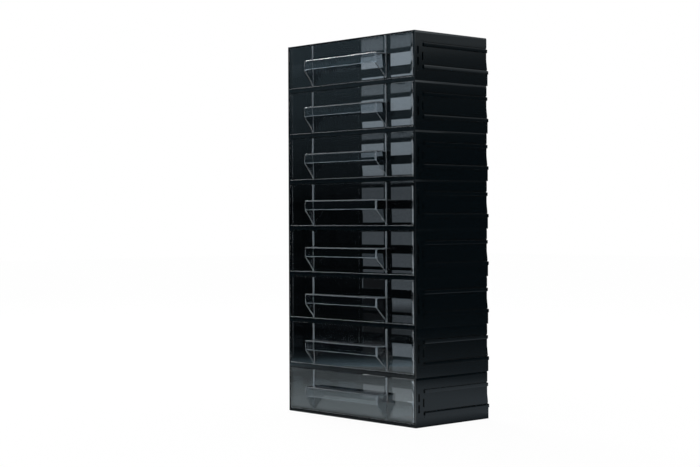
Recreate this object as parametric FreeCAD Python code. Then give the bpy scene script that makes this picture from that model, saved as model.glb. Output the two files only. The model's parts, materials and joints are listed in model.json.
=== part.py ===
import FreeCAD, Part
import os

# A free-standing stack of identical drawer units. Each unit is an opaque moulded housing, open at the front,
# and a clear moulded drawer that slides out of it. The housings locate on each other by round pips, and have
# coupling rails on the right and matching grooves on the left for another stack beside them.
# Millimetres. X runs to the viewer's right, Y from the front to the back, Z up.
# The origin is on the resting face, midway between the sides and midway between the front and the back wall.

# Stack
UNIT_COUNT = 8
UNIT_WIDTH = 197.4
UNIT_DEPTH = 106.4
UNIT_HEIGHT = 50.0

# Housing shell
SIDE_WALL = 1.9
BACK_WALL = 2.0
FLOOR = 2.0
CEILING = 1.2
SILL_HEIGHT = 1.0
SILL_DEPTH = 3.0
CORNER_ROUND = 0.4
TOP_LEAD_HEIGHT = 2.2
TOP_LEAD_DEPTH = 0.4

# Skirt along the bottom of the housing's back
SKIRT_STEP = 1.6
SKIRT_HEIGHT = 14.8
SKIRT_RAMP = 12.0

# Windows in the housing's back
CENTRE_BAR = 11.5
COLUMN_BAR = 9.8
END_BAR = 4.7
LOWER_BAR = 5.0
MIDDLE_BAR = 9.9
UPPER_BAR = 2.6
LOWER_WINDOW_HEIGHT = 14.9

# Coupling rails on the right side, and their grooves on the left side
RAIL_START = 12.2
RAIL_REACH = 1.1
RAIL_HEIGHT = 3.7
RAIL_TOP_LEAD = 1.3
RAIL_FOOT_LEAD = 0.8
RAIL_LEAD_DEPTH = 0.23
LOWER_RAIL_HEIGHT = 11.9
UPPER_RAIL_HEIGHT = 34.3
HOOK_GROOVE_HEIGHT = 1.2
HOOK_GROOVE_DEPTH = 0.7
PANEL_RECESS = 0.3
COUPLING_CLEARANCE = 0.15

# Coupling catch, in a shallow field in front of the rails
CATCH_FIELD_START = 1.4
CATCH_FIELD_LOW = 9.5
CATCH_FIELD_HIGH = 40.0
CATCH_FIELD_RECESS = 0.25
CATCH_START = 2.3
CATCH_MIDDLE = 24.5
CATCH_SLOT_LENGTH = 3.4
CATCH_SLOT_HEIGHT = 7.8
CATCH_SLOT_DEPTH = 1.4
CATCH_BAR = 3.4
CATCH_SLIT_WIDTH = 2.0
CATCH_SLIT_DEPTH = 1.4
CATCH_NUB_HEIGHT = 8.4
CATCH_NUB_REACH = 0.5

# Stacking pips on top of each housing, and the sockets under the next
PIP_RADIUS = 6.5
PIP_HEIGHT = 0.8
PIP_WALL = 1.0
PIP_INSET_X = 30.2
PIP_INSET_Y = 10.6
PIP_CLEARANCE = 0.2

# Drawer
DRAWER_SIDE_CLEARANCE = 0.45
DRAWER_TOP_CLEARANCE = 0.5
DRAWER_BACK_CLEARANCE = 0.5
SILL_CLEARANCE = 0.3
FRONT_PROUD = 0.4
FRONT_WALL = 2.0
DRAWER_WALL = 1.9
DRAWER_FLOOR = 1.9
RIM_DROP = 1.3
DRAWER_CORNER = 2.6
DRAWER_EDGE = 1.1

# Skids under the back of the drawer, which meet the sill when the drawer is fully out
SKID_LENGTH = 18.0
SKID_WIDTH = 6.0
SKID_INSET = 12.0
SKID_CLEARANCE = 0.2

# Finger pull on the drawer's front
PULL_WIDTH = 115.0
PULL_TAPER = 1.8
PULL_REACH = 13.2
PULL_PLATE = 1.6
LIP_LEAN = 0.3
LIP_ROUND = 0.6
PULL_TOP_HEIGHT = 27.5
PULL_LIP_HEIGHT = 10.3
GUSSET_FOOT_HEIGHT = 2.1
PULL_ROUND = 1.4

# Low rounded ribs up the drawer's front, through the roots of the gussets
RIB_WIDTH = 2.4
RIB_HEIGHT = 0.8
RIB_END_GAP = 0.4

# Making: how far fused shapes run into each other, how far a cut runs out past a face, and equal enough
OVERLAP = 0.1
OVERSHOOT = 1.0
SAME = 0.01

FRONT_Y = -UNIT_DEPTH / 2
BACK_Y = UNIT_DEPTH / 2
SIDE_X = UNIT_WIDTH / 2
SKIRT_Y = BACK_Y + SKIRT_STEP
INSIDE_X = SIDE_X - SIDE_WALL
INSIDE_BACK_Y = BACK_Y - BACK_WALL
CEILING_Z = UNIT_HEIGHT - CEILING
SILL_Z = FLOOR + SILL_HEIGHT

DRAWER_X = INSIDE_X - DRAWER_SIDE_CLEARANCE
DRAWER_FRONT_Y = FRONT_Y - FRONT_PROUD
DRAWER_BACK_Y = INSIDE_BACK_Y - DRAWER_BACK_CLEARANCE
DRAWER_Z = SILL_Z + SILL_CLEARANCE
DRAWER_TOP_Z = CEILING_Z - DRAWER_TOP_CLEARANCE
RIM_Z = DRAWER_TOP_Z - RIM_DROP
PULL_X = PULL_WIDTH / 2
PULL_TOP_Z = DRAWER_Z + PULL_TOP_HEIGHT
PULL_FRONT_Y = DRAWER_FRONT_Y - PULL_REACH
LIP_Y = PULL_FRONT_Y - LIP_LEAN
LIP_Z = PULL_TOP_Z - PULL_LIP_HEIGHT
GUSSET_FOOT_Z = DRAWER_Z + GUSSET_FOOT_HEIGHT


def box(x0, x1, y0, y1, z0, z1):
    """A block between two corners."""
    corner = FreeCAD.Vector(x0, y0, z0)
    return Part.makeBox(x1 - x0, y1 - y0, z1 - z0, corner)


def disc(x, y, z0, z1, radius):
    """An upright round disc."""
    return Part.makeCylinder(radius, z1 - z0, FreeCAD.Vector(x, y, z0))


def prism_x(outline, x0, x1):
    """A solid with a (y, z) outline, from x0 to x1."""
    points = [FreeCAD.Vector(x0, y, z) for y, z in outline]
    face = Part.Face(Part.makePolygon(points + points[:1]))
    return face.extrude(FreeCAD.Vector(x1 - x0, 0, 0))


def prism_z(outline, z0, z1):
    """A solid with an (x, y) outline, from z0 to z1."""
    points = [FreeCAD.Vector(x, y, z0) for x, y in outline]
    face = Part.Face(Part.makePolygon(points + points[:1]))
    return face.extrude(FreeCAD.Vector(0, 0, z1 - z0))


def prism_y(outline, y0, y1):
    """A solid with an (x, z) outline, from y0 to y1."""
    points = [FreeCAD.Vector(x, y0, z) for x, z in outline]
    face = Part.Face(Part.makePolygon(points + points[:1]))
    return face.extrude(FreeCAD.Vector(0, y1 - y0, 0))


def rounded(solid, radius, wanted):
    """The solid with each edge whose two ends are wanted rounded off."""
    edges = [e for e in solid.Edges if wanted(e.Vertexes[0].Point, e.Vertexes[-1].Point)]
    return solid.makeFillet(radius, edges)


def is_upright(a, b):
    return abs(a.x - b.x) < SAME and abs(a.y - b.y) < SAME


def pip_centres():
    """Where the four stacking pips stand."""
    xs = (PIP_INSET_X - SIDE_X, SIDE_X - PIP_INSET_X)
    ys = (FRONT_Y + PIP_INSET_Y, BACK_Y - PIP_INSET_Y)
    return [(x, y) for x in xs for y in ys]


def housing_block():
    """The outside of a housing: a block with a skirt at its back, and with sides that lean in at their top."""
    outline = [
        (FRONT_Y, 0),
        (SKIRT_Y, 0),
        (SKIRT_Y, SKIRT_HEIGHT),
        (BACK_Y, SKIRT_HEIGHT + SKIRT_RAMP),
        (BACK_Y, UNIT_HEIGHT),
        (FRONT_Y, UNIT_HEIGHT),
    ]
    lead_z = UNIT_HEIGHT - TOP_LEAD_HEIGHT
    lead_x = SIDE_X - TOP_LEAD_DEPTH
    section = [
        (-SIDE_X, 0),
        (SIDE_X, 0),
        (SIDE_X, lead_z),
        (lead_x, UNIT_HEIGHT),
        (-lead_x, UNIT_HEIGHT),
        (-SIDE_X, lead_z),
    ]
    block = prism_x(outline, -SIDE_X, SIDE_X)
    block = rounded(block, CORNER_ROUND, lambda a, b: is_upright(a, b) and a.y < FRONT_Y + SAME)
    return block.common(prism_y(section, FRONT_Y - OVERSHOOT, SKIRT_Y + OVERSHOOT))


def back_windows():
    """The openings through the housing's back: two rows of four."""
    half = (INSIDE_X - END_BAR - CENTRE_BAR / 2 - COLUMN_BAR) / 2
    inner = CENTRE_BAR / 2
    outer = inner + half + COLUMN_BAR
    lower = FLOOR + LOWER_BAR
    upper = lower + LOWER_WINDOW_HEIGHT + MIDDLE_BAR
    rows = ((lower, lower + LOWER_WINDOW_HEIGHT), (upper, CEILING_Z - UPPER_BAR))
    columns = (-outer - half, -inner - half, inner, outer)
    return [
        box(x, x + half, INSIDE_BACK_Y - OVERSHOOT, SKIRT_Y + OVERSHOOT, z0, z1)
        for x in columns
        for z0, z1 in rows
    ]


def lower_rail():
    """The lower coupling rail, which leans in along its top."""
    root = SIDE_X - PANEL_RECESS - OVERLAP
    tip = SIDE_X + RAIL_REACH
    foot = LOWER_RAIL_HEIGHT
    top = foot + RAIL_HEIGHT
    lead_x = tip - RAIL_LEAD_DEPTH
    section = [(root, foot), (tip, foot), (tip, top - RAIL_TOP_LEAD), (lead_x, top), (root, top)]
    return prism_y(section, FRONT_Y + RAIL_START, SKIRT_Y)


def upper_rail():
    """The upper coupling rail, which leans in along its foot."""
    root = SIDE_X - PANEL_RECESS - OVERLAP
    tip = SIDE_X + RAIL_REACH
    foot = UPPER_RAIL_HEIGHT
    top = foot + RAIL_HEIGHT
    lead_x = tip - RAIL_LEAD_DEPTH
    section = [(root, foot), (lead_x, foot), (tip, foot + RAIL_FOOT_LEAD), (tip, top), (root, top)]
    return prism_y(section, FRONT_Y + RAIL_START, BACK_Y)


def hook_groove(height):
    """The groove above a coupling rail, which makes the rail a hook."""
    z = height + RAIL_HEIGHT
    start = FRONT_Y + RAIL_START
    x0 = SIDE_X - HOOK_GROOVE_DEPTH
    return box(x0, SIDE_X + OVERSHOOT, start, SKIRT_Y + OVERSHOOT, z, z + HOOK_GROOVE_HEIGHT)


def side_panel():
    """The shallow recess between the two rails."""
    z0 = LOWER_RAIL_HEIGHT + RAIL_HEIGHT
    start = FRONT_Y + RAIL_START
    x0 = SIDE_X - PANEL_RECESS
    return box(x0, SIDE_X + OVERSHOOT, start, SKIRT_Y + OVERSHOOT, z0, UPPER_RAIL_HEIGHT)


def catch_field():
    """The shallow field that the coupling catch lies in."""
    y0 = FRONT_Y + CATCH_FIELD_START
    y1 = FRONT_Y + RAIL_START
    x0 = SIDE_X - CATCH_FIELD_RECESS
    return box(x0, SIDE_X + OVERSHOOT, y0, y1, CATCH_FIELD_LOW, CATCH_FIELD_HIGH)


def catch_cuts():
    """The coupling catch: two slots, and a slit behind them."""
    y0 = FRONT_Y + CATCH_START
    slot_y = y0 + CATCH_SLOT_LENGTH
    y1 = FRONT_Y + RAIL_START
    out = SIDE_X + OVERSHOOT
    slot_x = SIDE_X - CATCH_SLOT_DEPTH
    slit_x = SIDE_X - CATCH_SLIT_DEPTH
    slit_z = CATCH_NUB_HEIGHT / 2
    cuts = [box(slit_x, out, y1 - CATCH_SLIT_WIDTH, y1, CATCH_MIDDLE - slit_z, CATCH_MIDDLE + slit_z)]
    for z0 in (CATCH_MIDDLE + CATCH_BAR / 2, CATCH_MIDDLE - CATCH_BAR / 2 - CATCH_SLOT_HEIGHT):
        cuts.append(box(slot_x, out, y0, slot_y, z0, z0 + CATCH_SLOT_HEIGHT))
    return cuts


def coupling_groove(height):
    """A groove along the left side that takes the rail of a stack on that side."""
    depth = RAIL_REACH + COUPLING_CLEARANCE
    start = FRONT_Y + RAIL_START - COUPLING_CLEARANCE
    z0 = height - COUPLING_CLEARANCE
    z1 = height + RAIL_HEIGHT + COUPLING_CLEARANCE
    return box(-SIDE_X - OVERSHOOT, depth - SIDE_X, start, SKIRT_Y + OVERSHOOT, z0, z1)


def catch_nub():
    """The nub on the left side that clicks into the next stack's catch slot."""
    half = CATCH_NUB_HEIGHT / 2 - COUPLING_CLEARANCE
    y1 = FRONT_Y + RAIL_START - COUPLING_CLEARANCE
    y0 = y1 - CATCH_SLIT_WIDTH + 2 * COUPLING_CLEARANCE
    x0 = -SIDE_X - CATCH_NUB_REACH
    nub = box(x0, OVERLAP - SIDE_X, y0, y1, CATCH_MIDDLE - half, CATCH_MIDDLE + half)
    return rounded(
        nub,
        CATCH_NUB_REACH / 2,
        lambda a, b: is_upright(a, b) and a.x < -SIDE_X,
    )


def housing():
    """One housing, standing on z = 0."""
    pip_top = UNIT_HEIGHT + PIP_HEIGHT
    pips = [disc(x, y, UNIT_HEIGHT - OVERLAP, pip_top, PIP_RADIUS) for x, y in pip_centres()]
    cavity = box(-INSIDE_X, INSIDE_X, FRONT_Y + SILL_DEPTH, INSIDE_BACK_Y, FLOOR, CEILING_Z)
    mouth_back = FRONT_Y + SILL_DEPTH + OVERLAP
    mouth = box(-INSIDE_X, INSIDE_X, FRONT_Y - OVERSHOOT, mouth_back, SILL_Z, CEILING_Z)
    side_cuts = [side_panel(), hook_groove(LOWER_RAIL_HEIGHT), hook_groove(UPPER_RAIL_HEIGHT)]
    side_cuts += [catch_field()] + catch_cuts()
    side_cuts += [coupling_groove(LOWER_RAIL_HEIGHT), coupling_groove(UPPER_RAIL_HEIGHT)]
    hollows = [
        disc(x, y, CEILING_Z - OVERLAP, CEILING_Z + PIP_HEIGHT, PIP_RADIUS - PIP_WALL)
        for x, y in pip_centres()
    ]
    sockets = [
        disc(x, y, -OVERSHOOT, PIP_HEIGHT + PIP_CLEARANCE, PIP_RADIUS + PIP_CLEARANCE)
        for x, y in pip_centres()
    ]
    shell = housing_block().cut(side_cuts)
    shell = shell.fuse([lower_rail(), upper_rail(), catch_nub()] + pips)
    shell = shell.cut([cavity, mouth] + back_windows() + hollows + sockets)
    return shell.removeSplitter()


def drawer_tray():
    """The drawer's open box, with its taller front wall, rounded along its foot and sides."""
    outer = box(-DRAWER_X, DRAWER_X, DRAWER_FRONT_Y, DRAWER_BACK_Y, DRAWER_Z, RIM_Z)
    outer = rounded(outer, DRAWER_CORNER, lambda a, b: is_upright(a, b) and a.y > 0)
    inner = box(
        DRAWER_WALL - DRAWER_X,
        DRAWER_X - DRAWER_WALL,
        DRAWER_FRONT_Y + FRONT_WALL,
        DRAWER_BACK_Y - DRAWER_WALL,
        DRAWER_Z + DRAWER_FLOOR,
        RIM_Z + OVERSHOOT,
    )
    inner = rounded(inner, DRAWER_CORNER, is_upright)
    front = box(-DRAWER_X, DRAWER_X, DRAWER_FRONT_Y, DRAWER_FRONT_Y + FRONT_WALL, DRAWER_Z, DRAWER_TOP_Z)
    tray = outer.cut(inner).fuse(front).removeSplitter()

    def is_front_edge(a, b):
        return max(a.y, b.y) < DRAWER_FRONT_Y + SAME and min(a.z, b.z) < DRAWER_TOP_Z - SAME

    return rounded(tray, DRAWER_EDGE, is_front_edge)


def pull_block():
    """The finger pull before it is hollowed: narrower at its front, where it leans out to the lip's edge."""
    root = DRAWER_FRONT_Y + OVERLAP
    front_x = PULL_X - PULL_TAPER
    outline = [(root, PULL_TOP_Z), (PULL_FRONT_Y, PULL_TOP_Z), (LIP_Y, LIP_Z), (root, GUSSET_FOOT_Z)]
    plan = [(-PULL_X, root), (-front_x, LIP_Y), (front_x, LIP_Y), (PULL_X, root)]
    block = prism_x(outline, -PULL_X, PULL_X)
    return block.common(prism_z(plan, GUSSET_FOOT_Z - OVERSHOOT, PULL_TOP_Z + OVERSHOOT))


def pull_hollow():
    """The space under the top plate, between the gussets, behind the lip and below it."""
    inner_x = PULL_X - PULL_PLATE
    front_x = inner_x - PULL_TAPER
    top = PULL_TOP_Z - PULL_PLATE
    low = GUSSET_FOOT_Z - OVERSHOOT
    out = LIP_Y - OVERSHOOT
    outline = [
        (DRAWER_FRONT_Y, top),
        (PULL_FRONT_Y + PULL_PLATE, top),
        (LIP_Y + PULL_PLATE, LIP_Z),
        (out, LIP_Z),
        (out, low),
        (DRAWER_FRONT_Y, low),
    ]
    plan = [
        (-inner_x, DRAWER_FRONT_Y),
        (-front_x, LIP_Y),
        (-front_x, out),
        (front_x, out),
        (front_x, LIP_Y),
        (inner_x, DRAWER_FRONT_Y),
    ]
    return prism_x(outline, -PULL_X, PULL_X).common(prism_z(plan, low, PULL_TOP_Z))


def finger_pull():
    """The finger pull: a top plate, a lip at its front and a gusset at each end, open underneath."""

    def is_lip_edge(a, b):
        return max(abs(a.z - LIP_Z), abs(b.z - LIP_Z)) < SAME and abs(a.x - b.x) > PULL_X

    def is_outer(a, b):
        on_top = min(a.z, b.z) > PULL_TOP_Z - SAME and min(a.y, b.y) < DRAWER_FRONT_Y - SAME
        on_front = max(a.y, b.y) < PULL_FRONT_Y + SAME and max(a.z, b.z) > PULL_TOP_Z - SAME
        return on_top or on_front

    pull = rounded(pull_block().cut(pull_hollow()), LIP_ROUND, is_lip_edge)
    return rounded(pull, PULL_ROUND, is_outer)


def front_ribs():
    """The two low rounded ribs that run up the drawer's front, through the roots of the gussets."""
    radius = ((RIB_WIDTH / 2) ** 2 + RIB_HEIGHT**2) / (2 * RIB_HEIGHT)
    centre_y = DRAWER_FRONT_Y + radius - RIB_HEIGHT
    z0 = DRAWER_Z + DRAWER_EDGE + RIB_END_GAP
    z1 = DRAWER_TOP_Z - RIB_END_GAP
    y0 = DRAWER_FRONT_Y - 2 * RIB_HEIGHT
    gusset_x = PULL_X - PULL_PLATE / 2
    ribs = []
    for x in (-gusset_x, gusset_x):
        front = box(x - RIB_WIDTH, x + RIB_WIDTH, y0, DRAWER_FRONT_Y + OVERLAP, z0, z1)
        ribs.append(disc(x, centre_y, z0, z1, radius).common(front))
    return ribs


def skids():
    """The two skids that carry the back of the drawer and stop it at the sill."""
    z0 = FLOOR + SKID_CLEARANCE
    skid_pair = []
    for side in (-1, 1):
        x0, x1 = sorted((side * (DRAWER_X - SKID_INSET), side * (DRAWER_X - SKID_INSET - SKID_WIDTH)))
        y0 = DRAWER_BACK_Y - DRAWER_CORNER - SKID_LENGTH
        skid_pair.append(box(x0, x1, y0, y0 + SKID_LENGTH, z0, DRAWER_Z + OVERLAP))
    return skid_pair


def drawer():
    """One drawer, in its place in a housing that stands on z = 0."""
    extras = [finger_pull()] + front_ribs() + skids()
    return drawer_tray().fuse(extras).removeSplitter()


def check_solid(name, shape):
    if len(shape.Solids) != 1 or not shape.isValid():
        raise ValueError(name + " isn't one valid solid")


os.makedirs("parts", exist_ok=True)
for name, shape in (("housing", housing()), ("drawer", drawer())):
    check_solid(name, shape)
    for number in range(1, UNIT_COUNT + 1):
        placed = shape.Solids[0].copy()
        placed.translate(FreeCAD.Vector(0, 0, UNIT_HEIGHT * (number - 1)))
        placed.exportStep("parts/" + name + "_" + str(number) + ".step")
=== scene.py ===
import json
import math

import bmesh
import bpy
from bpy.props import FloatProperty, FloatVectorProperty, PointerProperty
from mathutils import Matrix, Vector

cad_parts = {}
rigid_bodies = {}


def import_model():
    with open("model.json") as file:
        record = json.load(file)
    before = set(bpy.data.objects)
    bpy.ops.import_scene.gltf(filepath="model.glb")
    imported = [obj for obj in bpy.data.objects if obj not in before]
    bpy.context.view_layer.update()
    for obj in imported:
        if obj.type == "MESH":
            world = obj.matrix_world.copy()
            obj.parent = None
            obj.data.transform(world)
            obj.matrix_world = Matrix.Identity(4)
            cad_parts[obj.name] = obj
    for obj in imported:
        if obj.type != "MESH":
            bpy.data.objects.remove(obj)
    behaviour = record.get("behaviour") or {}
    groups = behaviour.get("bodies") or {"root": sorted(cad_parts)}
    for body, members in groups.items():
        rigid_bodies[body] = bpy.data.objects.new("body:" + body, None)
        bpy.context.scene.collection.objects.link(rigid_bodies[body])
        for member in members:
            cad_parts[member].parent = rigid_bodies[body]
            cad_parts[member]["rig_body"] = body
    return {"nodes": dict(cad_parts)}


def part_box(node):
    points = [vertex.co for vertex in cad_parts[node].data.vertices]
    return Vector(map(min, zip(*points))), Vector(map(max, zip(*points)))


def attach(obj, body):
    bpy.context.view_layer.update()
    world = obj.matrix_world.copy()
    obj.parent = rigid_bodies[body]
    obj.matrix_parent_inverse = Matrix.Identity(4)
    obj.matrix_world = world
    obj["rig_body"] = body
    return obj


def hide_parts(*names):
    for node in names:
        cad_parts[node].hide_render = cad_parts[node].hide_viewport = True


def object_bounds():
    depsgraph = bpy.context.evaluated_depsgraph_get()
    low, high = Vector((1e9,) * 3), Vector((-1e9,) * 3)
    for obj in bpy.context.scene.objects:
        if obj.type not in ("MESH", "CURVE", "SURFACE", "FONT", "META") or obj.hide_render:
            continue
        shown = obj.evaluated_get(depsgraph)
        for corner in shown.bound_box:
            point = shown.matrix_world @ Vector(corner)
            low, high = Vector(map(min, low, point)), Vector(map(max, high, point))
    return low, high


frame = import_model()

bl_info = {
    "name": "Drawer Unit Stack",
    "version": (1, 0, 0),
    "blender": (4, 5, 0),
    "location": "3D View > Sidebar > Drawer Stack",
    "description": "Finishes a stack of smoky drawers in gloss black housings, and sets it on a lit stage",
    "category": "Object",
}

# A stack of like drawer units: black moulded housings, each with a smoky clear drawer.
# Metres, in the frame of the CAD model: X to the viewer's right, Y to the back, Z up.

MM = 0.001
CAD_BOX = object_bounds()
HOUSINGS = sorted(name for name in frame["nodes"] if name.startswith("housing_"))
DRAWERS = sorted(name for name in frame["nodes"] if name.startswith("drawer_"))

# Where a drawer's front wall ends: the pull, its gussets and the ribs stand in front of the first, and the
# rounding along the wall's foot lies in front of the second.
DRAWER_FRONT = -53.62 * MM
FOOT_BACK = -52.4 * MM

# Painted highlight on the drawers, a whitish haze that stands in for the glints on their edges: the name
# of the share that each face carries, the breadth from which a face no longer counts as a tight edge, and
# the shares of the pull's top plate and of the front wall's foot.
HIGHLIGHT_MASK = "painted_highlight_share"
EDGE_BREADTH = 0.9 * MM
PLATE_HIGHLIGHT = 0.6
FOOT_HIGHLIGHT = 0.45


def linear(hex_colour):
    """An sRGB hex colour as linear red, green and blue."""
    shares = [int(hex_colour[i : i + 2], 16) / 255 for i in (1, 3, 5)]
    return [c / 12.92 if c <= 0.04045 else ((c + 0.055) / 1.055) ** 2.4 for c in shares]


class HousingSettings(bpy.types.PropertyGroup):
    """The finish of the black housings."""

    plastic: FloatVectorProperty(
        name="Plastic",
        description="Colour of the housings' ABS",
        default=linear("#03090d"),
        subtype="COLOR",
        min=0,
        max=1,
    )
    edge_radius: FloatProperty(
        name="Edge radius",
        description="Radius that the tool leaves on the housings' sharp edges",
        default=0.07 * MM,
        min=0,
        unit="LENGTH",
    )
    waviness: FloatProperty(
        name="Waviness",
        description="Width of the slow waves that cooling leaves in the gloss faces",
        default=28 * MM,
        min=0.1 * MM,
        unit="LENGTH",
    )
    scratch_spacing: FloatProperty(
        name="Scratch spacing",
        description="Distance between the fine rubs of handling",
        default=1.5 * MM,
        min=0.1 * MM,
        unit="LENGTH",
    )


class DrawerSettings(bpy.types.PropertyGroup):
    """The finish of the smoky clear drawers."""

    smoke: FloatVectorProperty(
        name="Smoke",
        description="Colour that the polystyrene lets through",
        default=linear("#537689"),
        subtype="COLOR",
        min=0,
        max=1,
    )
    smoke_density: FloatProperty(
        name="Smoke density",
        description="How quickly the smoke dims the light, per metre",
        default=270.0,
        min=0,
    )
    # Painted highlight: the colour that the hazy edges scatter in place of their glints.
    highlight_colour: FloatVectorProperty(
        name="Edge colour",
        description="Colour of the light that the rubbed places scatter",
        default=linear("#d4ecff"),
        subtype="COLOR",
        min=0,
        max=1,
    )
    # Painted highlight: how much light the haziest edges scatter in place of their glints.
    highlight_haze: FloatProperty(
        name="Edge haze",
        description="Share of the light that the most rubbed edges scatter instead of passing it on",
        default=0.2,
        min=0,
        max=1,
        subtype="FACTOR",
    )
    edge_radius: FloatProperty(
        name="Edge radius",
        description="Radius that the tool leaves on the sharp edges of the drawers' trays",
        default=0.12 * MM,
        min=0,
        unit="LENGTH",
    )
    pull_radius: FloatProperty(
        name="Pull edge radius",
        description="Radius of the sharp edges of the finger pulls and the ribs",
        default=0.32 * MM,
        min=0,
        unit="LENGTH",
    )
    waviness: FloatProperty(
        name="Waviness",
        description="Width of the slow waves that cooling leaves in the clear walls",
        default=22 * MM,
        min=0.1 * MM,
        unit="LENGTH",
    )


class StageSettings(bpy.types.PropertyGroup):
    """The floor, the lights and the camera."""

    floor_size: FloatProperty(
        name="Floor size", description="Side of the floor", default=12.0, min=1, unit="LENGTH"
    )
    floor_colour: FloatVectorProperty(
        name="Floor colour",
        description="Colour of the floor",
        default=linear("#ffffff"),
        subtype="COLOR",
        min=0,
        max=1,
    )
    room_light: FloatProperty(
        name="Room light", description="Strength of the soft light from all sides", default=0.8, min=0
    )
    softbox_place: FloatVectorProperty(
        name="Softbox place",
        description="Where the overhead softbox hangs",
        default=(-1.26, 0.5, 1.67),
        subtype="XYZ",
        unit="LENGTH",
    )
    softbox_size: FloatProperty(
        name="Softbox size",
        description="Side of the overhead softbox",
        default=0.6,
        min=0.1,
        unit="LENGTH",
    )
    softbox_power: FloatProperty(
        name="Softbox power",
        description="Power of the overhead softbox",
        default=16.0,
        min=0,
        unit="POWER",
    )
    lens: FloatProperty(
        name="Lens", description="Focal length of the camera", default=75.06, min=1, unit="CAMERA"
    )
    camera_place: FloatVectorProperty(
        name="Camera place",
        description="Where the camera stands",
        default=(1.13365, -1.09002, 0.20776),
        subtype="XYZ",
        unit="LENGTH",
    )
    camera_yaw: FloatProperty(
        name="Camera turn",
        description="Turn of the camera from facing straight back, to the left",
        default=0.829338,
        subtype="ANGLE",
    )
    camera_pitch: FloatProperty(
        name="Camera pitch", description="Tilt of the camera, up", default=-0.0080364, subtype="ANGLE"
    )
    camera_roll: FloatProperty(
        name="Camera roll", description="Roll of the camera", default=-0.0036267, subtype="ANGLE"
    )


def add_node(tree, kind, inputs=(), **settings):
    """Adds a node with its settings, and gives each named input its value or its link."""
    node = tree.nodes.new(kind)
    for name, value in settings.items():
        setattr(node, name, value)
    for name, value in dict(inputs).items():
        if isinstance(value, bpy.types.NodeSocket):
            tree.links.new(value, node.inputs[name])
        else:
            node.inputs[name].default_value = value
    return node


def new_material(name):
    """An empty node material and its tree."""
    material = bpy.data.materials.new(name)
    material.use_nodes = True
    material.node_tree.nodes.clear()
    return material, material.node_tree


def gloss_black_abs(settings):
    """ABS, injection moulded against polished steel: near black, a clear gloss with slow waves from
    cooling, and fine rubs that break the gloss a little."""
    abs_ior = 1.54
    polished, rubbed = 0.05, 0.12
    least_noise, most_noise = 0.3, 0.8
    wave_depth = 0.08 * MM
    wave_strength = 0.25
    # Real rubs lie closer than the spacing drawn, which is as coarse as it needs to be to show.
    material, tree = new_material("moulded_gloss_black_ABS")
    place = add_node(tree, "ShaderNodeTexCoord").outputs["Object"]
    waves = add_node(
        tree,
        "ShaderNodeTexNoise",
        {"Vector": place, "Scale": 1 / settings.waviness, "Detail": 1.0, "Roughness": 0.4},
    )
    rubs_and_highlights = add_node(
        tree,
        "ShaderNodeTexNoise",
        {"Vector": place, "Scale": 1 / settings.scratch_spacing, "Detail": 3.0, "Roughness": 0.6},
    )
    gloss = add_node(
        tree,
        "ShaderNodeMapRange",
        {
            "Value": rubs_and_highlights.outputs["Fac"],
            "From Min": least_noise,
            "From Max": most_noise,
            "To Min": polished,
            "To Max": rubbed,
        },
    )
    bump = add_node(
        tree,
        "ShaderNodeBump",
        {"Height": waves.outputs["Fac"], "Strength": wave_strength, "Distance": wave_depth},
    )
    surface = add_node(
        tree,
        "ShaderNodeBsdfPrincipled",
        {
            "Base Color": [*settings.plastic, 1],
            "IOR": abs_ior,
            "Roughness": gloss.outputs["Result"],
            "Normal": bump.outputs["Normal"],
        },
    )
    add_node(tree, "ShaderNodeOutputMaterial", {"Surface": surface.outputs["BSDF"]})
    return material


def smoky_polystyrene(settings):
    """General-purpose polystyrene with a smoke tint, injection moulded against polished steel: clear as
    glass with slow waves from cooling, darker the further light travels in it, and hazy white as a painted
    highlight on the faces that carry a highlight share, which scatters a share of the light in place of
    their glints."""
    polystyrene_ior = 1.59
    polished = 0.0
    wave_depth = 0.05 * MM
    wave_strength = 0.2
    material, tree = new_material("moulded_smoky_clear_polystyrene")
    place = add_node(tree, "ShaderNodeTexCoord").outputs["Object"]
    waves = add_node(
        tree,
        "ShaderNodeTexNoise",
        {"Vector": place, "Scale": 1 / settings.waviness, "Detail": 0.0},
    )
    bump = add_node(
        tree,
        "ShaderNodeBump",
        {"Height": waves.outputs["Fac"], "Strength": wave_strength, "Distance": wave_depth},
    )
    # Painted highlight: the share read here makes faces hazy white in place of their glints.
    rubs_and_highlights = add_node(tree, "ShaderNodeAttribute", attribute_name=HIGHLIGHT_MASK, attribute_type="GEOMETRY")
    clear = add_node(
        tree,
        "ShaderNodeMapRange",
        {"Value": rubs_and_highlights.outputs["Fac"], "To Min": 1.0, "To Max": 1.0 - settings.highlight_haze},
    )
    colour = add_node(
        tree,
        "ShaderNodeMix",
        {"Factor": rubs_and_highlights.outputs["Fac"], "A": [1, 1, 1, 1], "B": [*settings.highlight_colour, 1]},
        data_type="RGBA",
    )
    surface = add_node(
        tree,
        "ShaderNodeBsdfPrincipled",
        {
            "Base Color": colour.outputs["Result"],
            "IOR": polystyrene_ior,
            "Roughness": polished,
            "Transmission Weight": clear.outputs["Result"],
            "Normal": bump.outputs["Normal"],
        },
    )
    smoke = add_node(
        tree,
        "ShaderNodeVolumeAbsorption",
        {"Color": [*settings.smoke, 1], "Density": settings.smoke_density},
    )
    add_node(
        tree,
        "ShaderNodeOutputMaterial",
        {"Surface": surface.outputs["BSDF"], "Volume": smoke.outputs["Volume"]},
    )
    return material


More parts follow.
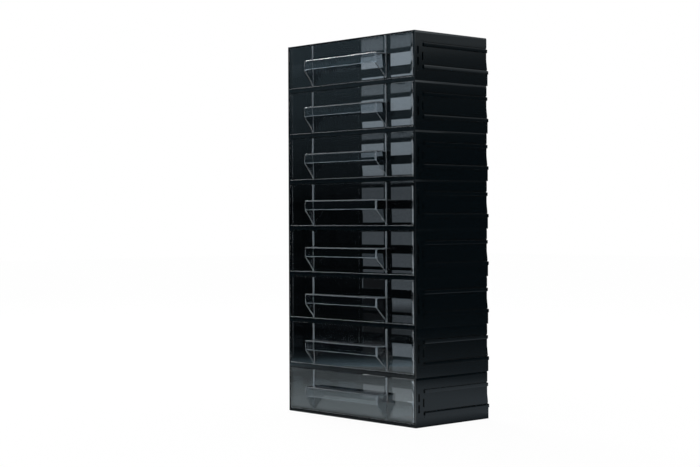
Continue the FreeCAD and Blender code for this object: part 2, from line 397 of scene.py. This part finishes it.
def painted_highlight_share(face):
    """How much painted highlight a face of a drawer carries, from 0 to 1: the tight edges of the pull and
    the ribs most, then the pull's top plate, and the foot of the front wall. The highlight is a whitish
    haze in place of the glints on these faces."""
    faces_up = 0.9
    leans = 0.1
    depth = face.calc_center_median().y
    if depth < DRAWER_FRONT:
        if face.normal.z > faces_up:
            return PLATE_HIGHLIGHT
        breadth = 2 * face.calc_area() / face.calc_perimeter()
        return max(0.0, 1.0 - breadth / EDGE_BREADTH) ** 2
    if depth < FOOT_BACK and face.normal.y < -leans and face.normal.z < -leans:
        return FOOT_HIGHLIGHT
    return 0.0


def moulding_mesh(node_name, name, edge_radius, pull_radius):
    """The mesh of a node, with whole flat faces and every sharp outer edge rounded as a tool rounds it.
    Edges in front of the drawers' front walls have the pull's radius. Each face carries its share of
    painted highlight, which the drawers' plastic reads and the housings' doesn't."""
    weld_distance = 0.001 * MM
    flat_angle = math.radians(0.5)
    sharp_angle = math.radians(60)
    crease_angle = math.radians(50)
    segments = 3
    shape = bmesh.new()
    shape.from_mesh(frame["nodes"][node_name].data)
    bmesh.ops.remove_doubles(shape, verts=shape.verts, dist=weld_distance)
    bmesh.ops.dissolve_limit(shape, angle_limit=flat_angle, verts=shape.verts, edges=shape.edges)
    for on_pull, radius in ((False, edge_radius), (True, pull_radius)):
        sharp = [e for e in shape.edges if e.is_convex and e.calc_face_angle(0) > sharp_angle]
        bmesh.ops.bevel(
            shape,
            geom=[e for e in sharp if on_pull == (min(v.co.y for v in e.verts) < DRAWER_FRONT)],
            offset=radius,
            offset_type="OFFSET",
            segments=segments,
            profile=0.5,
            affect="EDGES",
            clamp_overlap=False,
        )
    # Each face's share of painted highlight, which only the drawers' plastic reads.
    rubs_and_highlights = shape.faces.layers.float.new(HIGHLIGHT_MASK)
    for face in shape.faces:
        face.smooth = True
        face[rubs_and_highlights] = painted_highlight_share(face)
    for edge in shape.edges:
        edge.smooth = edge.calc_face_angle(0) < crease_angle
    mesh = bpy.data.meshes.new(name)
    shape.to_mesh(mesh)
    shape.free()
    mesh.materials.clear()
    return mesh


def place_mouldings(node_names, mesh, material):
    """One moulding in place of each node, all with the same mesh, moved from the first node's place."""
    mesh.materials.append(material)
    first_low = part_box(node_names[0])[0]
    for node_name in node_names:
        piece = bpy.data.objects.new(node_name + "_moulding", mesh)
        bpy.context.scene.collection.objects.link(piece)
        piece.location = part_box(node_name)[0] - first_low
        flats = piece.modifiers.new("even_faces", "WEIGHTED_NORMAL")
        flats.mode = "FACE_AREA"
        flats.weight = 100
        flats.keep_sharp = True
        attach(piece, frame["nodes"][node_name]["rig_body"])
        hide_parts(node_name)


class STACK_OT_housings(bpy.types.Operator):
    """Finish the eight black housings"""

    bl_idname = "drawer_stack.housings"
    bl_label = "Housings"

    def execute(self, context):
        settings = context.scene.stack_housings
        radius = settings.edge_radius
        mesh = moulding_mesh(HOUSINGS[0], "housing_moulding", radius, radius)
        place_mouldings(HOUSINGS, mesh, gloss_black_abs(settings))
        return {"FINISHED"}


class STACK_OT_drawers(bpy.types.Operator):
    """Finish the eight smoky clear drawers"""

    bl_idname = "drawer_stack.drawers"
    bl_label = "Drawers"

    def execute(self, context):
        settings = context.scene.stack_drawers
        mesh = moulding_mesh(DRAWERS[0], "drawer_moulding", settings.edge_radius, settings.pull_radius)
        place_mouldings(DRAWERS, mesh, smoky_polystyrene(settings))
        return {"FINISHED"}


def seen_directly(tree):
    """One for what the camera, gloss and clear plastic see, and zero for soft light."""
    path = add_node(tree, "ShaderNodeLightPath")
    seen = add_node(
        tree,
        "ShaderNodeMath",
        {0: path.outputs["Is Camera Ray"], 1: path.outputs["Is Glossy Ray"]},
        operation="MAXIMUM",
    )
    seen = add_node(
        tree,
        "ShaderNodeMath",
        {0: seen.outputs["Value"], 1: path.outputs["Is Transmission Ray"]},
        operation="MAXIMUM",
    )
    return seen.outputs["Value"]


def stage_object(name, shape, material):
    """A piece of the stage from a finished shape, which is freed, in one material."""
    mesh = bpy.data.meshes.new(name)
    shape.to_mesh(mesh)
    shape.free()
    mesh.materials.append(material)
    piece = bpy.data.objects.new(name, mesh)
    bpy.context.scene.collection.objects.link(piece)
    return piece


def build_floor(settings):
    """A white floor, of which most is plain white whatever falls on it, so that it keeps only a trace of
    the stack's shadow."""
    shadowless = 0.96
    material, tree = new_material("matt_white_floor_paper")
    paper = add_node(tree, "ShaderNodeBsdfDiffuse", {"Color": [*settings.floor_colour, 1]})
    white = add_node(tree, "ShaderNodeEmission", {"Color": [1, 1, 1, 1], "Strength": 1.0})
    share = add_node(
        tree,
        "ShaderNodeMath",
        {0: seen_directly(tree), 1: shadowless},
        operation="MULTIPLY",
    )
    mixed = add_node(
        tree,
        "ShaderNodeMixShader",
        {0: share.outputs["Value"], 1: paper.outputs["BSDF"], 2: white.outputs["Emission"]},
    )
    add_node(tree, "ShaderNodeOutputMaterial", {"Surface": mixed.outputs["Shader"]})
    half_side = settings.floor_size / 2
    shape = bmesh.new()
    bmesh.ops.create_grid(shape, x_segments=4, y_segments=4, size=half_side)
    stage_object("floor", shape, material)


def build_world(settings):
    """Soft light from all sides, pure white where the camera, gloss and clear plastic see it."""
    world = bpy.data.worlds.new("white_studio")
    bpy.context.scene.world = world
    world.use_nodes = True
    tree = world.node_tree
    tree.nodes.clear()
    room = add_node(
        tree,
        "ShaderNodeBackground",
        {"Color": [1, 1, 1, 1], "Strength": settings.room_light},
    )
    white = add_node(tree, "ShaderNodeBackground", {"Color": [1, 1, 1, 1], "Strength": 1.0})
    mixed = add_node(
        tree,
        "ShaderNodeMixShader",
        {0: seen_directly(tree), 1: room.outputs["Background"], 2: white.outputs["Background"]},
    )
    add_node(tree, "ShaderNodeOutputWorld", {"Surface": mixed.outputs["Shader"]})


def add_card(name, low, high, width, tones, tint=(1, 1, 1)):
    """A card between the middles of its low and high edges, which gloss and clear plastic see and the
    camera doesn't. Its tones are pairs of a share of the way from low to high and the brightness there."""
    low, high = Vector(low), Vector(high)
    length = (high - low).length
    brightest = max(tone for share, tone in tones)
    material, tree = new_material("graded_" + name)
    place = add_node(tree, "ShaderNodeTexCoord").outputs["Object"]
    level = add_node(tree, "ShaderNodeSeparateXYZ", {"Vector": place}).outputs["Y"]
    share = add_node(
        tree,
        "ShaderNodeMapRange",
        {"Value": level, "From Min": -length / 2, "From Max": length / 2},
    )
    ramp = add_node(tree, "ShaderNodeValToRGB", {"Fac": share.outputs["Result"]})
    while len(ramp.color_ramp.elements) < len(tones):
        ramp.color_ramp.elements.new(1.0)
    for element, (position, tone) in zip(ramp.color_ramp.elements, tones):
        element.position = position
        element.color = [c * tone / brightest for c in tint] + [1]
    glow = add_node(
        tree,
        "ShaderNodeEmission",
        {"Color": ramp.outputs["Color"], "Strength": brightest},
    )
    add_node(tree, "ShaderNodeOutputMaterial", {"Surface": glow.outputs["Emission"]})
    # A square of one metre, brought to the card's size.
    shape = bmesh.new()
    bmesh.ops.create_grid(shape, x_segments=1, y_segments=1, size=0.5)
    bmesh.ops.scale(shape, vec=(width, length, 1), verts=shape.verts)
    card = stage_object(name, shape, material)
    middle = (low + high) / 2
    along = (high - low).normalized()
    # An upright card faces the stack, and a lying one keeps its width square to its length.
    upright = abs(along.z) > 0.5
    outward = middle if upright else along
    across = Vector((-outward.y, outward.x, 0)).normalized()
    turn = Matrix((across, along, across.cross(along))).transposed().to_4x4()
    card.matrix_world = Matrix.Translation(middle) @ turn
    card.visible_camera = False
    card.visible_diffuse = False
    card.visible_shadow = False


def add_softbox(settings):
    """A square area lamp over the stack, that faces its middle."""
    name = "overhead_softbox"
    lamp = bpy.data.lights.new(name, "AREA")
    lamp.shape = "SQUARE"
    lamp.size = settings.softbox_size
    lamp.energy = settings.softbox_power
    softbox = bpy.data.objects.new(name, lamp)
    bpy.context.scene.collection.objects.link(softbox)
    place = Vector(settings.softbox_place)
    middle = (CAD_BOX[0] + CAD_BOX[1]) / 2
    turn = (middle - place).to_track_quat("-Z", "Y").to_matrix().to_4x4()
    softbox.matrix_world = Matrix.Translation(place) @ turn
    softbox.visible_camera = False


def add_camera(settings):
    """The camera, level with the stack's middle and off its right front corner."""
    camera = bpy.data.objects.new("camera", bpy.data.cameras.new("camera"))
    bpy.context.scene.collection.objects.link(camera)
    camera.data.lens = settings.lens
    turn = Matrix.Rotation(settings.camera_yaw, 4, "Z")
    pitch = Matrix.Rotation(math.pi / 2 + settings.camera_pitch, 4, "X")
    roll = Matrix.Rotation(settings.camera_roll, 4, "Z")
    camera.matrix_world = Matrix.Translation(Vector(settings.camera_place)) @ turn @ pitch @ roll
    bpy.context.scene.camera = camera


# The studio's cards, each with the middles of its low and high edges, its width, its tones and its tint.
# Upright cards stand for the room, and are mostly dark at the table and light above it. Lying cards stand
# for the table, and the shades are lying cards that dim it near the stack. A lying card is 0.2 to 0.4 mm
# over the floor, so that low rays don't pass under it, and low in it means its end nearer the stack.
CARDS = {
    # Mirrored in the drawers' fronts, above the table.
    "front_left_card": dict(
        low=(-0.41, -0.43, 0.0),
        high=(-0.41, -0.43, 0.62),
        width=0.45,
        tones=(
            (0.0, 0.9),
            (0.0106, 0.38),
            (0.015, 0.3),
            (0.019, 0.17),
            (0.024, 0.085),
            (0.04, 0.03),
            (0.08, 0.02),
            (0.38, 0.02),
            (0.48, 0.09),
            (0.59, 0.18),
            (0.7, 0.27),
            (1.0, 0.4),
        ),
        tint=(0.6, 0.85, 1.0),
    ),
    # The table, mirrored in the lower drawers' fronts.
    "front_left_table": dict(
        low=(-0.02, -0.056, 0.0002),
        high=(-0.41, -0.43, 0.0002),
        width=0.4,
        tones=((0.0, 1.25), (0.3, 1.12), (0.5, 0.82), (0.68, 0.5), (0.85, 0.45), (1.0, 0.7)),
        tint=(0.88, 1.0, 1.04),
    ),
    # Mirrored in the housings' right sides, above the table.
    "right_rear_card": dict(
        low=(0.61, 0.54, 0.0),
        high=(0.61, 0.54, 0.8),
        width=0.46,
        tones=(
            (0.0, 0.1),
            (0.026, 0.06),
            (0.052, 0.04),
            (0.098, 0.02),
            (0.377, 0.02),
            (0.514, 0.06),
            (0.54, 0.08),
            (0.575, 0.12),
            (0.605, 0.4),
            (0.665, 0.35),
            (0.76, 0.8),
            (1.0, 1.5),
        ),
        tint=(0.85, 0.95, 1.0),
    ),
    # The table, mirrored in the lower right sides.
    "right_rear_table": dict(
        low=(0.05, -0.058, 0.0003),
        high=(0.61, 0.54, 0.0003),
        width=0.34,
        tones=((0.0, 0.5), (0.35, 0.45), (0.5, 0.34), (0.72, 0.14), (1.0, 0.1)),
        tint=(0.8, 0.93, 1.04),
    ),
    # Seen through the drawers and the back's windows, above the table.
    "rear_left_card": dict(
        low=(-0.44, 0.4, 0.0),
        high=(-0.44, 0.4, 0.5),
        width=0.8,
        tones=(
            (0.0, 0.28),
            (0.04, 0.325),
            (0.06, 0.224),
            (0.08, 0.0672),
            (0.15, 0.056),
            (0.175, 0.235),
            (0.22, 0.168),
            (0.44, 0.162),
            (0.51, 0.134),
            (0.56, 0.392),
            (0.62, 0.459),
            (0.75, 0.56),
            (0.9, 0.661),
        ),
        tint=(0.94, 1.0, 1.05),
    ),
    # The table, seen through the lowest windows.
    "rear_left_table": dict(
        low=(-0.08, 0.075, 0.0003),
        high=(-0.284, 0.283, 0.0003),
        width=0.22,
        tones=((0.0, 0.22), (1.0, 0.22)),
    ),
    # Dims the table where the seam above the lowest unit mirrors it.
    "front_seam_shade": dict(
        low=(-0.36, -0.3613, 0.0004),
        high=(-0.36, -0.4101, 0.0004),
        width=0.28,
        tones=((0.0, 0.12), (1.0, 0.1)),
    ),
    # Dims the table where the foot of the lowest front mirrors it.
    "front_foot_shade": dict(
        low=(0.0, -0.054, 0.0004),
        high=(0.0, -0.1, 0.0004),
        width=0.26,
        tones=((0.0, 0.15), (0.25, 0.25), (0.49, 0.62), (0.74, 1.1), (1.0, 1.25)),
        tint=(0.88, 1.0, 1.04),
    ),
    # Dims the table where the foot of the lowest right side mirrors it.
    "side_foot_shade": dict(
        low=(0.099, 0.0, 0.0004),
        high=(0.145, 0.0, 0.0004),
        width=0.16,
        tones=((0.0, 0.1), (0.3, 0.25), (1.0, 0.48)),
        tint=(0.8, 0.93, 1.04),
    ),
    # Mirrored in faces between the front and the right side, such as the upright roundings.
    "right_card": dict(
        low=(0.782, 0.166, 0.0),
        high=(0.782, 0.166, 0.75),
        width=0.58,
        tones=((0.0, 0.3), (0.1, 0.1), (0.6, 0.1), (1.0, 0.3)),
        tint=(0.85, 0.95, 1.0),
    ),
    # Mirrored in faces that look at the viewer, such as the upright roundings.
    "camera_side_card": dict(
        low=(0.62, -0.66, 0.0),
        high=(0.62, -0.66, 0.75),
        width=1.6,
        tones=((0.0, 0.3), (0.1, 0.08), (0.6, 0.04), (1.0, 0.3)),
        tint=(0.85, 0.95, 1.0),
    ),
    # A low, narrow dark box, seen through the lower left windows.
    "rear_left_box": dict(
        low=(-0.358, 0.33, 0.0),
        high=(-0.358, 0.33, 0.142),
        width=0.04,
        tones=((0.0, 0.17), (0.132, 0.056), (0.352, 0.017)),
    ),
}


class STACK_OT_stage(bpy.types.Operator):
    """Set the floor, the lights and the camera"""

    bl_idname = "drawer_stack.stage"
    bl_label = "Stage"

    def execute(self, context):
        settings = context.scene.stack_stage
        build_floor(settings)
        build_world(settings)
        for name, card in CARDS.items():
            add_card(name, **card)
        add_softbox(settings)
        add_camera(settings)
        context.scene.view_settings.view_transform = "Standard"
        return {"FINISHED"}


class STACK_PT_panel(bpy.types.Panel):
    """Lists the parts of the stack and their settings"""

    bl_label = "Drawer Stack"
    bl_idname = "STACK_PT_panel"
    bl_space_type = "VIEW_3D"
    bl_region_type = "UI"
    bl_category = "Drawer Stack"

    def draw(self, context):
        for operator, group in STEPS:
            box = self.layout.box()
            settings = getattr(context.scene, group)
            for name in settings.__annotations__:
                box.prop(settings, name)
            box.operator(operator.bl_idname)


STEPS = (
    (STACK_OT_housings, "stack_housings"),
    (STACK_OT_drawers, "stack_drawers"),
    (STACK_OT_stage, "stack_stage"),
)
GROUPS = {
    "stack_housings": HousingSettings,
    "stack_drawers": DrawerSettings,
    "stack_stage": StageSettings,
}
CLASSES = (*GROUPS.values(), *(operator for operator, group in STEPS), STACK_PT_panel)


def register():
    """Makes the classes and the scene's settings known to Blender."""
    for cls in CLASSES:
        bpy.utils.register_class(cls)
    for name, cls in GROUPS.items():
        setattr(bpy.types.Scene, name, PointerProperty(type=cls))


def unregister():
    """Takes them away again."""
    for name in GROUPS:
        delattr(bpy.types.Scene, name)
    for cls in reversed(CLASSES):
        bpy.utils.unregister_class(cls)


def main():
    """Builds every piece and the stage."""
    register()
    bpy.ops.drawer_stack.housings()
    bpy.ops.drawer_stack.drawers()
    bpy.ops.drawer_stack.stage()


if __name__ == "__main__":
    main()
